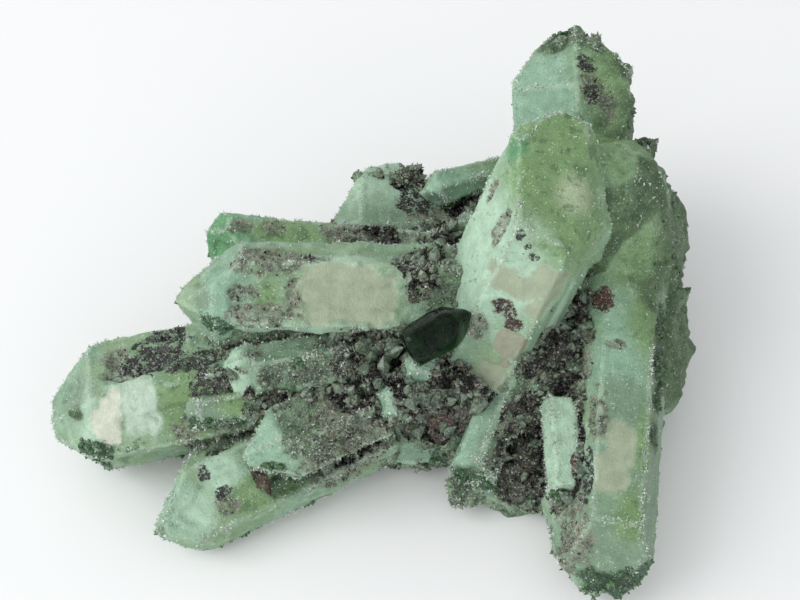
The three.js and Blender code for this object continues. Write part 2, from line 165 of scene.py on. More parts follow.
# Markings on the crystals. Each lies at a share of the crystal's length from its root and at an
# angle round it in degrees, and reaches so many millimetres along and round it.
SPOTS = {
    "left": [
        ("black", 0.51, 116, 6, 4), ("black", 0.56, 92, 9, 6), ("black", 0.44, 78, 10, 5),
        ("black", 0.34, 76, 6, 3), ("black", 0.39, 46, 9, 5), ("grey", 0.66, 101, 4, 5),
        ("white", 0.61, 41, 4.8, 8), ("cream", 0.675, 54, 2, 3.4), ("cream", 0.695, 42, 3, 4.4),
        ("cream", 0.715, 28, 3.6, 5.6), ("pale", 0.76, 30, 5, 14), ("dull", 0.79, 68, 5, 8),
        ("olive", 0.79, 46, 3, 2), ("leaf", 0.48, 33, 9, 12), ("grey", 0.5, 7, 4, 4),
        ("deep", 0.78, 3, 15, 3.2), ("pale", 0.64, 60, 6, 12), ("grey", 0.62, 84, 8, 4),
    ],
    "front_left": [
        ("grey", 0.64, 139, 13, 5), ("grey", 0.5, 140, 5, 3), ("black", 0.5, 143, 2, 1.6),
        ("leaf", 0.63, 85, 3.5, 4), ("grey", 0.71, 91, 4, 2), ("grey", 0.54, 83, 3.5, 6),
        ("grey", 0.65, 60, 8, 3), ("pale", 0.4, 133, 9, 6), ("window", 0.35, 88, 14.5, 8.5),
        ("deep", 0.8, 43, 7, 3.4), ("dull", 0.84, 78, 3, 3), ("mint", 0.78, 103, 7, 12),
        ("pale", 0.56, 42, 18, 2.6),
    ],
    "back_left": [
        ("emerald", 0.86, 95, 11, 10), ("deep", 0.93, 60, 5, 5), ("grey", 0.76, 104, 4, 2.2),
        ("grey", 0.64, 109, 3, 2), ("leaf", 0.58, 98, 11, 4), ("grey", 0.34, 110, 14, 4),
    ],
    "back": [
        ("dull", 0.3, 60, 14, 30), ("pale", 0.66, 60, 14, 14), ("black", 0.55, 115, 9, 6),
        ("grey", 0.4, 120, 14, 9), ("deep", 0.8, 60, 4, 20),
    ],
    "back_blade": [("mint", 0.75, 10, 14, 8), ("black", 0.5, 330, 10, 3)],
    "short": [
        ("dull", 0.66, 22, 7, 6), ("leaf", 0.45, 40, 6, 5), ("deep", 0.65, 345, 12, 3),
        ("deep", 0.84, 30, 2, 6), ("black", 0.36, 10, 3, 3),
    ],
    "middle": [
        ("pale", 0.88, 60, 4, 7), ("grey", 0.84, 57, 1.8, 2.2), ("grey", 0.79, 90, 2.8, 2.2),
        ("dull", 0.6, 60, 14, 10), ("sage", 0.48, 36, 12, 6), ("sage", 0.42, 78, 11, 5),
        ("deep", 0.62, 46, 1.8, 1.8), ("olive", 0.7, 345, 8, 4), ("black", 0.4, 24, 6, 5),
        ("grey", 0.36, 66, 6, 6), ("sage", 0.74, 30, 4, 3),
    ],
    "stub": [
        ("mint", 0.66, 90, 5, 10), ("deep", 0.79, 90, 2.4, 12), ("deep", 0.66, 350, 10, 2.6),
        ("sage", 0.34, 60, 11, 12), ("grey", 0.2, 40, 10, 10), ("deep", 0.62, 150, 9, 2),
        ("sage", 0.36, 118, 9, 5), ("grey", 0.34, 4, 11, 4), ("leaf", 0.46, 60, 3, 3),
    ],
    "lower_left": [
        ("deep", 0.8, 150, 14, 2.5), ("black", 0.58, 150, 3, 1.7), ("black", 0.66, 130, 1.7, 2.4),
        ("black", 0.62, 88, 2.8, 1.5), ("grey", 0.63, 62, 4, 3.2), ("olive", 0.88, 62, 5, 2.5),
        ("olive", 0.38, 56, 8, 4), ("grey", 0.22, 50, 12, 8), ("deep", 0.4, 66, 6, 2),
        ("pale", 0.6, 118, 6, 6), ("pale", 0.74, 80, 6, 6), ("rust", 0.49, 76, 2, 4),
        ("leaf", 0.54, 60, 7, 5), ("deep", 0.97, 100, 3, 8), ("mint", 0.8, 100, 8, 9),
    ],
    "upright": [
        ("pale", 0.54, 42, 24, 12), ("pale", 0.5, 80, 12, 14), ("leaf", 0.74, 75, 11, 17),
        ("leaf", 0.7, 118, 12, 13), ("leaf", 0.86, 80, 12, 20), ("emerald", 0.77, 14, 4, 3),
        ("pale", 0.63, 5, 14, 6), ("pale", 0.74, 122, 5, 4), ("pale", 0.7, 112, 4, 3),
        ("pale", 0.66, 88, 3, 5), ("beige", 0.745, 112, 6, 5.5), ("grey", 0.6, 49, 5.5, 2.6),
        ("grey", 0.65, 10, 4, 1.6), ("black", 0.62, 71, 1.4, 1), ("black", 0.55, 68, 0.9, 0.9),
        ("black", 0.58, 89, 0.9, 1.2), ("black", 0.57, 101, 1, 1.2), ("black", 0.6, 80, 0.8, 0.8),
        ("window", 0.5, 86, 4, 8), ("window", 0.53, 112, 4.5, 7), ("window", 0.46, 113, 3.5, 4),
        ("grey", 0.46, 130, 1.2, 1), ("rust", 0.43, 86, 3, 3.5), ("rust", 0.4, 99, 3.5, 2.6),
        ("plate", 0.345, 105, 4.2, 4.8), ("window", 0.25, 103, 4.2, 6),
        ("plate", 0.295, 107, 1.4, 1.6), ("grey", 0.36, 72, 3.6, 3), ("crevice", 0.29, 80, 8, 5),
        ("rust", 0.17, 96, 6, 6.5), ("rust", 0.1, 84, 8, 8), ("black", 0.12, 120, 6, 5),
        ("grey", 0.35, 150, 7, 3), ("mint", 0.38, 128, 5, 3), ("black", 0.24, 145, 9, 5),
        ("pale", 0.44, 150, 10, 2.5), ("mint", 0.42, 62, 8, 8),
    ],
    "tall": [
        ("mint", 0.66, 30, 17, 14), ("olive", 0.87, 20, 5, 11), ("deep", 0.9, 20, 4, 6),
        ("black", 0.76, 79, 4.5, 3), ("grey", 0.7, 80, 5, 4), ("black", 0.66, 78, 3.4, 2.4),
        ("leaf", 0.67, 105, 24, 12), ("leaf", 0.45, 90, 14, 14), ("emerald", 0.92, 60, 5, 7),
        ("grey", 0.62, 92, 4, 3), ("olive", 0.7, 125, 14, 5),
    ],
    "right": [
        ("rust", 0.33, 123, 3.5, 4), ("mint", 0.46, 98, 16, 8), ("leaf", 0.36, 62, 12, 8),
        ("deep", 0.44, 30, 22, 4.5), ("olive", 0.44, 38, 22, 6), ("grey", 0.43, 103, 1.6, 3),
        ("window", 0.64, 91, 6, 3.6), ("window", 0.7, 99, 5.5, 4.4), ("black", 0.7, 127, 9, 2),
        ("deep", 0.91, 45, 5, 10), ("dull", 0.7, 60, 18, 6), ("grey", 0.42, 150, 16, 4),
        ("black", 0.5, 165, 12, 5), ("grey", 0.8, 150, 14, 6), ("dull", 0.84, 92, 12, 9),
        ("grey", 0.58, 118, 8, 3), ("leaf", 0.2, 80, 14, 12), ("dull", 0.7, 22, 30, 7),
        ("leaf", 0.62, 60, 10, 4), ("leaf", 0.78, 74, 8, 5), ("dull", 0.56, 90, 8, 9),
        ("olive", 0.91, 45, 4, 10), ("deep", 0.87, 0, 5, 5),
    ],
    "blade": [("pale", 0.5, 110, 16, 8), ("deep", 0.88, 130, 3, 6), ("rust", 0.6, 60, 3, 1.2)],
    "slim": [
        ("mint", 0.6, 100, 26, 7), ("dull", 0.66, 45, 14, 5), ("olive", 0.9, 70, 5, 14),
        ("deep", 0.9, 70, 4.5, 14), ("grey", 0.5, 26, 12, 3), ("black", 0.62, 8, 8, 3),
        ("black", 0.4, 50, 4, 1.5),
    ],
    "low_front": [("black", 0.3, 100, 16, 10), ("grey", 0.8, 100, 10, 9)],
    "front_edge": [("mint", 0.55, 35, 12, 5), ("deep", 0.45, 20, 3, 3)],
    "pale": [("mint", 0.8, 0, 8, 8), ("sage", 0.6, 60, 4, 5), ("grey", 0.7, 120, 3, 3)],
    "hopper": [
        ("mint", 0.85, 11, 3, 12), ("grey", 0.7, 300, 5, 4), ("sage", 0.56, 90, 6, 9),
        ("sage", 0.5, 0, 6, 9),
    ],
    **dict.fromkeys(("flank_high", "flank_mid", "flank_low"), [("olive", 0.8, 90, 20, 30)]),
}
# Where the gaps between the crystals are filled with dark grit: centre and radius. On the outer
# flank they are filled with green grit, and elsewhere with sage-green crumbs.
DARK_GAPS = [
    (4, 20, 40, 20), (-12, -30, 36, 22), (14, -32, 42, 17), (2, -6, 48, 14),
    (50, -24, 38, 18), (40, -48, 20, 20), (-40, -32, 34, 12), (48, -58, 20, 12),
    (-20, -46, 26, 16), (16, 18, 38, 18), (8, -40, 34, 18),
]
GREEN_GAPS = [
    (84, 16, 46, 24), (84, -12, 26, 24), (64, -84, 10, 12), (70, 20, 50, 24),
    (66, 8, 66, 26), (80, -34, 24, 20),
]
# Where the grit lies over the crystals too.
BURIED = [
    (8, -10, 55, 12), (-3, -25, 43, 9), (-12, -34, 39, 11), (4, -37, 40, 10),
    (12, -38, 30, 10), (-10, 10, 46, 10), (-11, -27, 44, 9), (20, -39, 31, 9),
    (44, -27, 42, 8),
]

# Each kind of marking: its shade, how far its border wanders, how soft that border is, and the
# greatest share that a point of it may have, which leaves holes in it where it is less than 1.
Kind = namedtuple("Kind", "shade wander soft cover")
KINDS = {
    "mint": Kind((130, 163, 139), 0.2, 0.45, 1),
    "pale": Kind((162, 190, 166), 0.2, 0.45, 1),
    "dull": Kind((112, 136, 112), 0.3, 0.45, 1),
    "leaf": Kind((110, 140, 92), 0.25, 0.5, 1),
    "beige": Kind((150, 166, 132), 0.25, 0.5, 1),
    "emerald": Kind((82, 136, 90), 0.3, 0.4, 1),
    "olive": Kind((74, 98, 62), 0.6, 0.35, 1),
    "window": Kind((153, 163, 138), 0.5, 0.2, 1),
    "plate": Kind((141, 143, 122), 0.3, 0.03, 1),
    "cream": Kind((198, 202, 184), 0.4, 0.12, 1),
    "white": Kind((180, 198, 180), 0.4, 0.25, 1),
    "deep": Kind((36, 66, 44), 0.6, 0.22, 0.72),
    "sage": Kind((92, 112, 88), 0.7, 0.25, 0.7),
    "grey": Kind((106, 107, 92), 0.8, 0.26, 0.62),
    "black": Kind((38, 35, 33), 0.7, 0.1, 0.61),
    "crevice": Kind((60, 57, 50), 0.6, 0.14, 1),
    "rust": Kind((72, 42, 37), 0.8, 0.16, 0.7),
}
BARE = ("window", "plate", "cream", "white")
ROUGH = ("sage", "grey", "black", "rust", "crevice")
SPARK = (176, 178, 170)  # the lightest bits of the grit

# Rows of small crystals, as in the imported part: from one point to another, standing out along a
# direction, how far they are spread to each side of the row, how many, and their mean width.
Row = namedtuple("Row", "start end out spread number size")
CRUSTS = [
    Row((74, 46, 55), (83, -2, 30), (1, 0.2, 0.4), 7, 14, 6),
    Row((79, -4, 34), (70, -46, 23), (1, 0, 0.3), 4, 8, 6),
    Row((53, -83, 6), (62, -80, 11), (0, -1, 0.3), 3, 4, 5),
    Row((15, -55, 9), (24, -55, 11), (0, -1, 0.2), 2, 3, 5),
    Row((-8, -40, 8), (24, -42, 8), (0, -1, 0.6), 3, 6, 5),
    Row((46, 58, 80), (60, 56, 82), (0, 0.6, 1), 2, 4, 4),
    Row((-14, 36, 45), (7, 38, 46), (0, 0.6, 1), 3, 7, 3.5),
    Row((-20, -34, 38), (20, -38, 40), (0, -0.6, 1), 8, 6, 6),
    Row((55, -4, 46), (49, -36, 30), (-0.3, -0.5, 1), 3, 7, 6),
    Row((2, -14, 52), (12, 16, 44), (-0.4, -0.5, 1), 7, 10, 7),
]

# The strewn grains: how many, least and greatest width in mm, height over width, sides, and shade.
# Those with six sides stand on a short column.
Grain = namedtuple("Grain", "number least most tall sides shade")
GRAINS = {
    "frost": Grain(30000, 0.3, 1.0, 0.8, 3, (186, 206, 184)),
    "soot": Grain(30000, 0.4, 1.1, 1.1, 3, (28, 26, 24)),
    "salt": Grain(30000, 0.35, 1.2, 0.9, 3, (124, 125, 111)),
    "moss": Grain(1800, 0.6, 2.2, 0.6, 6, (66, 96, 62)),
    "sprout": Grain(2400, 0.8, 2.2, 1.1, 6, (112, 121, 104)),
    "shard": Grain(300, 1.8, 4.2, 1.1, 6, (102, 117, 99)),
}

rng = np.random.default_rng(7)


def unit(vectors):
    """The vector or vectors at length one."""
    vectors = np.asarray(vectors, float)
    return vectors / np.linalg.norm(vectors, axis=-1, keepdims=True)


def smooth(low, high, values):
    """0 below low, 1 above high and an even curve between."""
    share = np.clip((values - low) / (high - low), 0, 1)
    return share * share * (3 - 2 * share)


def value_noise(points, size, pattern):
    """Smooth values from -1 to 1 whose swells are about size mm wide."""
    places = points / size
    cell = np.floor(places).astype(np.int64)
    inside = smooth(0, 1, places - cell)
    total = np.zeros(len(points))
    for corner in itertools.product((0, 1), repeat=3):
        # The large numbers stir the corner's place into a height that looks random.
        knot = cell + corner
        mixed = knot[:, 0] * 73856093 ^ knot[:, 1] * 19349663 ^ knot[:, 2] * 83492791
        mixed = (mixed ^ (pattern * 2654435 + (mixed >> 13))) & 0x7FFFFFFF
        height = (mixed * 1274126177 >> 12) % 65536 / 32767.5 - 1
        total += height * np.prod(np.where(corner, inside, 1 - inside), axis=1)
    return total


def swells(points, layers):
    """The sum of several layers of smooth noise."""
    return sum(strength * value_noise(points, size, pattern) for strength, size, pattern in layers)


def crystal_axes(spec):
    """A crystal's foot, unit axis, two directions across it, and length."""
    foot = np.array(spec.root, float)
    along = np.array(spec.tip) - foot
    axis = unit(along)
    level = unit(np.cross((0, 0, 1), axis))
    roll = math.radians(spec.roll)
    across = level * math.cos(roll) + np.cross(axis, level) * math.sin(roll)
    return foot, axis, across, np.cross(axis, across), np.linalg.norm(along)


def crystal_planes(spec):
    """Normals and reaches of a crystal's root end, blunt end, sides, end faces and underside."""
    foot, axis, across, over, length = crystal_axes(spec)
    width = spec.width
    apex = foot + axis * length
    lean = math.atan((1 - spec.taper) * width / 2 / length)
    faces = [(-axis, foot), (axis, apex - axis * spec.blunt * width)]
    for side, cut in enumerate(spec.caps):
        angle = math.radians(30 + 60 * side)
        out = across * math.cos(angle) + over * math.sin(angle)
        # Two of the sides face along the depth.
        reach = spec.depth / 2 if side % 3 == 1 else width / 2 * math.cos(math.pi / 6)
        faces.append((out * math.cos(lean) + axis * math.sin(lean), foot + out * reach))
        if cut is not None:
            end = out * math.sin(POINT_SLOPE) + axis * math.cos(POINT_SLOPE)
            faces.append((end, apex - end * cut * width))
    faces.append((np.array((0, 0, -1.0)), np.zeros(3)))
    normals = np.array([normal for normal, point in faces])
    return normals, np.array([normal @ point for normal, point in faces])


PLANES = {name: crystal_planes(spec) for name, spec in CRYSTALS.items()}


def corners_of(planes):
    """The corners of the space behind every plane, found where three planes meet."""
    normals, reaches = planes
    corners = []
    for trio in itertools.combinations(range(len(reaches)), 3):
        three = normals[list(trio)]
        if abs(np.linalg.det(three)) > PARALLEL:
            corner = np.linalg.solve(three, reaches[list(trio)])
            if (normals @ corner <= reaches + WELD).all():
                corners.append(corner)
    return np.unique(np.round(corners, 3), axis=0)


def mesh_of(shape):
    """A mesh made from a finished bmesh."""
    mesh = bpy.data.meshes.new("shape")
    shape.to_mesh(mesh)
    shape.free()
    return mesh


def solid_mesh(planes):
    """A closed mesh of the space behind every plane."""
    shape = bmesh.new()
    for corner in corners_of(planes):
        shape.verts.new(corner)
    bmesh.ops.convex_hull(shape, input=shape.verts)
    return mesh_of(shape)


def lump_mesh(name):
    """A closed mesh round one lump of the heart."""
    centre, half = LUMPS[name]
    shape = bmesh.new()
    bmesh.ops.create_icosphere(shape, subdivisions=4, radius=1)
    for vert in shape.verts:
        vert.co = Vector(c + h * part for c, h, part in zip(centre, half, vert.co))
    return mesh_of(shape)


def joined(meshes):
    """One mesh that holds all of the given ones."""
    shape = bmesh.new()
    for mesh in meshes:
        shape.from_mesh(mesh)
    return mesh_of(shape)


def gathered(places, values, count):
    """The sum of the vectors that fall on each of count places."""
    return np.stack([np.bincount(places, column, count) for column in values.T], axis=1)


def evened(points, faces, times, share=1.0):
    """Moves each point halfway to the middle of its neighbours, or by a share of that way."""
    here = faces.ravel()
    ahead, behind = np.roll(faces, -1, axis=1).ravel(), np.roll(faces, 1, axis=1).ravel()
    neighbours = 2 * np.bincount(here, minlength=len(points))[:, None]
    for _ in range(times):
        middle = gathered(here, points[ahead] + points[behind], len(points)) / neighbours
        points = points + 0.5 * share * (middle - points)
    return points


def net_over(mesh, spacing, times):
    """Points and four-sided faces of a net over closed meshes, evened out a number of times."""
    holder = bpy.data.objects.new("net", mesh)
    bpy.context.collection.objects.link(holder)
    remesh = holder.modifiers.new("net", "REMESH")
    remesh.mode = "VOXEL"
    remesh.voxel_size = spacing
    now = bpy.context.evaluated_depsgraph_get()
    net = bpy.data.meshes.new_from_object(holder.evaluated_get(now))
    points = np.empty(3 * len(net.vertices))
    net.vertices.foreach_get("co", points)
    faces = np.empty(len(net.loops), np.int64)
    net.loops.foreach_get("vertex_index", faces)
    bpy.data.objects.remove(holder)
    faces = faces.reshape(-1, 4)
    return evened(points.reshape(-1, 3), faces, times), faces


def outward_of(points, faces):
    """The outward direction at each point of a net."""
    first, second, third, fourth = (points[faces[:, k]] for k in range(4))
    facing = np.cross(third - first, fourth - second)
    return unit(gathered(faces.ravel(), np.repeat(facing, 4, axis=0), len(points)))


def height_over(points, name):
    """How far the points stand out of a crystal or lump, less than zero inside it."""
    if name in PLANES:
        normals, reaches = PLANES[name]
        return (points @ normals.T - reaches).max(axis=1)
    centre, half = np.array(LUMPS[name], float)
    scaled = (points - centre) / half
    size = np.linalg.norm(scaled, axis=1)
    return size * (size - 1) / np.maximum(np.linalg.norm(scaled / half, axis=1), WELD)


def room_round(points, own=()):
    """How far the points stand out of every crystal and lump but their own."""
    others = [name for name in (*PLANES, *LUMPS) if name not in own]
    return np.min([height_over(points, name) for name in others], axis=0)


def edge_distance(points, planes):
    """How far each point of a crystal lies from the nearest edge of the face that it is on."""
    normals, reaches = planes[0][1:-1], planes[1][1:-1]  # without the root end and the underside
    below = reaches - points @ normals.T
    face = below.argmin(axis=1)
    turn = np.sqrt(np.clip(1 - (normals[face] @ normals.T) ** 2, 0, 1))
    return np.where(turn > SAME_FACE, below / np.maximum(turn, SAME_FACE), FAR).min(axis=1)


def zone(points, balls):
    """1 inside any of the balls and 0 well outside them."""
    share = np.zeros(len(points))
    for *centre, radius in balls:
        away = np.linalg.norm(points - np.array(centre, float), axis=1)
        share = np.maximum(share, 1 - smooth(0.75 * radius, 1.1 * radius, away))
    return share


def unmarked(points):
    """A share of nothing for every kind of marking."""
    return {kind: np.zeros(len(points)) for kind in KINDS}


def strongest(shares, kinds):
    """The greatest of several markings' shares at each point."""
    return np.max([shares[kind] for kind in kinds], axis=0)


def spot_centre(name, along, angle):
    """The point of a crystal's skin at a share of its length and an angle round its axis."""
    foot, axis, across, over, length = crystal_axes(CRYSTALS[name])
    normals, reaches = PLANES[name]
    turn = math.radians(angle)
    way = across * math.cos(turn) + over * math.sin(turn)
    start = foot + axis * along * length
    facing = normals @ way
    ahead = facing > WELD
    return start + way * ((reaches - normals @ start)[ahead] / facing[ahead]).min()


def mark_spots(shares, points, name):
    """Marks a crystal's spots: a share of a half is a spot's border. Bare spots are squarer."""
    axis = crystal_axes(CRYSTALS[name])[1]
    for kind, along, angle, reach_along, reach_round in SPOTS.get(name, ()):
        offset = points - spot_centre(name, along, angle)
        lengthwise = offset @ axis
        sideways = np.sqrt(np.maximum((offset ** 2).sum(axis=1) - lengthwise ** 2, 0))
        power = 4 if kind in BARE else 2
        away = (np.abs(lengthwise / reach_along) ** power
                + (sideways / reach_round) ** power) ** (1 / power)
        shares[kind] = np.maximum(shares[kind], np.clip(1.5 - away, 0, 1))


def mark_gaps(shares, points, gap):
    """Where gap is near 1, marks the skin with the crumbs that fill this side of the cluster."""
    dark, green = zone(points, DARK_GAPS), zone(points, GREEN_GAPS)
    spotted = strongest(shares, [kind for kind in KINDS if kind not in ROUGH])
    gap = np.maximum(gap, zone(points, BURIED)) * (1 - smooth(0.4, 0.6, spotted))
    shares["crevice"] = gap * dark
    shares["olive"] = np.maximum(shares["olive"], gap * green * (1 - dark))
    shares["sage"] = np.maximum(shares["sage"], gap * (1 - dark) * (1 - green))


def roughen_borders(shares, points):
    """Makes the borders of the markings wander, and keeps bare windows clear of grit."""
    ragged, gentle = swells(points, RAGGED), swells(points, GENTLE)
    for kind, look in KINDS.items():
        drift = ragged if kind in ROUGH or kind in BARE else gentle
        edge = smooth(0, 0.3, shares[kind])
        shares[kind] = np.clip(shares[kind] + look.wander * drift * edge, 0, 1)
    bare = strongest(shares, BARE)
    for kind in ROUGH:
        shares[kind] = shares[kind] * (1 - smooth(0.42, 0.5, bare))


def mark_rims(shares, points, outward, edge, melt):
    """Marks the crystals' rims, and those facing down dark green, partly as painted shade."""
    shares["rim"] = (1 - smooth(0, RIM_WIDTH, edge)) * (1 - melt)
    # Painted shade: rims facing down turn dark green, partly their own dark-green rim and partly the
    # shade under them.
    dark_rim_and_underside_shade = smooth(0.2, 0.8, shares["rim"]) * (1 - smooth(-0.5, 0.25, outward[:, 2]))
    shares["deep"] = np.maximum(shares["deep"], dark_rim_and_underside_shade * (0.6 + 0.5 * value_noise(points, 7, 16)))


def grit_tone(points):
    """From 0 where grit is black to 1 where it is pale, in patches a few millimetres wide."""
    return 0.5 + 0.45 * value_noise(points, 4.5, 51) + 0.5 * value_noise(points, 1.8, 52)


def sunken(points, edge, spec):
    """How deep a crystal's faces lie below its rims."""
    width = spec.width
    inward = edge + swells(points, RIM_WANDER)
    depth = np.zeros(len(points))
    for step in range(1, spec.steps + 1):
        start = step * RIM_SHARE * width
        depth += SINK_SHARE * width * smooth(start, start + SLOPE_WIDTH, inward)
    return depth


def roughened(points, outward, shares, sink, lumpy):
    """The points moved along outward: swells, crumbs where marked, beads on rims, flat windows."""
    pane = smooth(0.42, 0.58, strongest(shares, BARE))
    rough = smooth(0.35, 0.6, strongest(shares, ROUGH))
    height = swells(points, FACE_SWELLS)
    height += rough * CRUMB * (value_noise(points, 1.9, 6) - 0.5)
    height += BEAD * smooth(0.2, 1, shares["rim"]) * (1 + value_noise(points, 1.7, 8))
    height += lumpy * swells(points, LUMP_SWELLS)
    height = (height - sink) * (1 - pane) - (WINDOW_DEPTH + WINDOW_SINK * sink) * pane
    points = points + outward * height[:, None]
    points[:, 2] = np.maximum(points[:, 2], 0)
    return points


def worn_net(names, spacing):
    """A net over crystals and lumps with worn edges, and how far it is melted at each point."""
    meshes = [solid_mesh(PLANES[name]) if name in PLANES else lump_mesh(name) for name in names]
    points, faces = net_over(joined(meshes), spacing, WORN)
    if len(names) == 1:
        return points, faces, np.zeros(len(points))
    melt = zone(points, MELTED)
    return evened(points, faces, MELTING, melt[:, None]), faces, melt


def skin_of(names, spacing):
    """The sculpted points, faces, marks and room of one piece made of crystals and lumps."""
    points, faces, melt = worn_net(names, spacing)
    outward, room, shares = outward_of(points, faces), room_round(points, names), unmarked(points)
    nearest = np.argmin([np.abs(height_over(points, name)) for name in names], axis=0)
    edge, sink, lumpy = np.full(len(points), FAR), np.zeros(len(points)), np.zeros(len(points))
    for index, name in enumerate(names):
        own = nearest == index
        if name in LUMPS:
            lumpy[own] = 1
        else:
            edge[own] = edge_distance(points[own], PLANES[name])
            sink[own] = sunken(points[own], edge[own], CRYSTALS[name])
            mark_spots(shares, points, name)
    mark_gaps(shares, points, np.maximum(1 - smooth(0.5, GAP_REACH, room), LUMP_GRIT * lumpy))
    roughen_borders(shares, points)
    mark_rims(shares, points, outward, edge, melt)
    shares["tone"] = grit_tone(points)
    lumpy = np.maximum(lumpy, smooth(0.4, 0.8, shares["olive"])) * (1 - 0.3 * melt)
    return roughened(points, outward, shares, sink, lumpy), faces, shares, room


def scatter(number):
    """A repeatable value from 0 to 1 for any whole number, the same as in the part's source."""
    return math.sin(number * 12.9898) * 43758.5453 % 1


def crust_meshes(crust, row):
    """The meshes of one row of small crystals."""
    start, end = np.array(crust.start, float), np.array(crust.end, float)
    outward = unit(crust.out)
    sideways = unit(np.cross(end - start, outward))
    meshes = []
    for i in range(crust.number):
        pick = [scatter(row * 100 + i * 7 + k) for k in range(7)]
        foot = start + (end - start) * (i + pick[1]) / crust.number
        foot = foot + sideways * (2 * pick[2] - 1) * crust.spread
        width = crust.size * (0.7 + 0.6 * pick[3])
        way = unit(outward + (np.array(pick[4:7]) - 0.5) * 1.2)
        spec = Crystal(foot - 1.3 * width * way, foot + 0.7 * width * way, width, width * 0.8,
                       60 * pick[0], caps=(0, None) * 3)
        meshes.append(solid_mesh(crystal_planes(spec)))
    return meshes


def crust_skin():
    """The sculpted points, faces, marks and room of all the rows of small crystals."""
    crust = joined([mesh for row, crust in enumerate(CRUSTS) for mesh in crust_meshes(crust, row)])
    points, faces = net_over(crust, NET, CRUST_WORN)
    shares, nothing = unmarked(points), np.zeros(len(points))
    mark_gaps(shares, points, np.full(len(points), CRUST_GRIT))
    roughen_borders(shares, points)
    shares["rim"] = nothing
    shares["tone"] = grit_tone(points)
    points = roughened(points, outward_of(points, faces), shares, nothing, nothing)
    return points, faces, shares, room_round(points)


def set_down(name, points, faces, material, shares=None):
    """Makes a piece from points in mm, gives it its marks, and sets it in the frame."""
    mesh = bpy.data.meshes.new(name)
    mesh.from_pydata(points * MM, [], faces)
    for mark, values in (shares or {}).items():
        mesh.attributes.new(mark, "FLOAT", "POINT").data.foreach_set("value", values)
    mesh.materials.append(material)
    mesh.update()
    piece = bpy.data.objects.new(name, mesh)
    bpy.context.collection.objects.link(piece)
    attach(piece, "root")
    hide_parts("quartz_cluster")
    return piece


def closed(mesh):
    """Closes each opening of a mesh with a cap."""
    shape = bmesh.new()
    shape.from_mesh(mesh)
    bmesh.ops.holes_fill(shape, edges=[edge for edge in shape.edges if edge.is_boundary])
    bmesh.ops.triangulate(shape, faces=[face for face in shape.faces if len(face.verts) > 4])
    shape.to_mesh(mesh)
    shape.free()


def set_down_skin(name, skin, material):
    """Sets down the seen part of a skin, and returns where grains may stand on it."""
    points, faces, shares, room = skin
    faces = faces[(room > -HIDDEN)[faces].any(axis=1)]
    used = np.unique(faces)
    place = np.zeros(len(points), np.int64)
    place[used] = np.arange(len(used))
    points, faces, room = points[used], place[faces], room[used]
    shares = {mark: values[used] for mark, values in shares.items()}
    outward = outward_of(points, faces)
    piece = set_down(name, points, faces.tolist(), material, shares)
    closed(piece.data)
    piece.data.shade_smooth()
    return dict(points=points, outward=outward, room=room, **shares)


def all_skins():
    """Sets down the trunk, the heart, the crust and each crystal, and joins what they return."""
    quartz = frosted_quartz()
    skins = [set_down_skin("trunk", skin_of(TRUNK, NET), quartz),
             set_down_skin("heart", skin_of(HEART, HEART_NET), quartz),
             set_down_skin("crust", crust_skin(), quartz)]
    for name, spec in CRYSTALS.items():
        if name not in TRUNK:
            spacing = NET if spec.width > SMALL else FINE_NET
            skins.append(set_down_skin("crystal_" + name, skin_of((name,), spacing), quartz))
    return {mark: np.concatenate([skin[mark] for skin in skins]) for mark in skins[0]}


def clear_crystal():
    """Sets down the see-through crystal, with well worn edges."""
    points, faces = net_over(solid_mesh(crystal_planes(CLEAR)), FINE_NET, CLEAR_WORN)
    points += outward_of(points, faces) * swells(points, CLEAR_SWELLS)[:, None]
    faces = faces.tolist()
    piece = set_down("crystal_clear", points, faces, clear_quartz())
    piece.data.shade_smooth()


def strewn(places, outward, widths, tall, sides):
    """Points and faces of many small pointed crystals, each standing on its place."""
    count = len(places)
    way = unit(outward + GRAIN_LEAN * rng.normal(size=(count, 3)))
    side = unit(np.cross(way, rng.normal(size=(count, 3))))
    third = np.cross(way, side)
    turns = [2 * math.pi * k / sides for k in range(sides)]
    spoke = np.stack([side * math.cos(turn) + third * math.sin(turn) for turn in turns], axis=1)
    width = widths[:, None]
    foot = places - way * width * GRAIN_ROOT
    rings = [foot[:, None] + spoke * width[:, None] / 2]
    if sides > 3:
        rings.append(rings[0] + (way * width * tall * COLUMN)[:, None])
    apex = (foot + way * width * (tall + GRAIN_ROOT))[:, None]
    points = np.concatenate([*rings, apex], axis=1).reshape(-1, 3)
    each = sides * len(rings) + 1
    last = sides * (len(rings) - 1)
    pattern = [tuple(range(sides))[::-1]]
    pattern += [(k, (k + 1) % sides, (k + 1) % sides + sides, k + sides) for k in range(last)]
    pattern += [(last + k, last + (k + 1) % sides, each - 1) for k in range(sides)]
    faces = [tuple(i * each + k for k in face) for i in range(count) for face in pattern]
    return points, faces


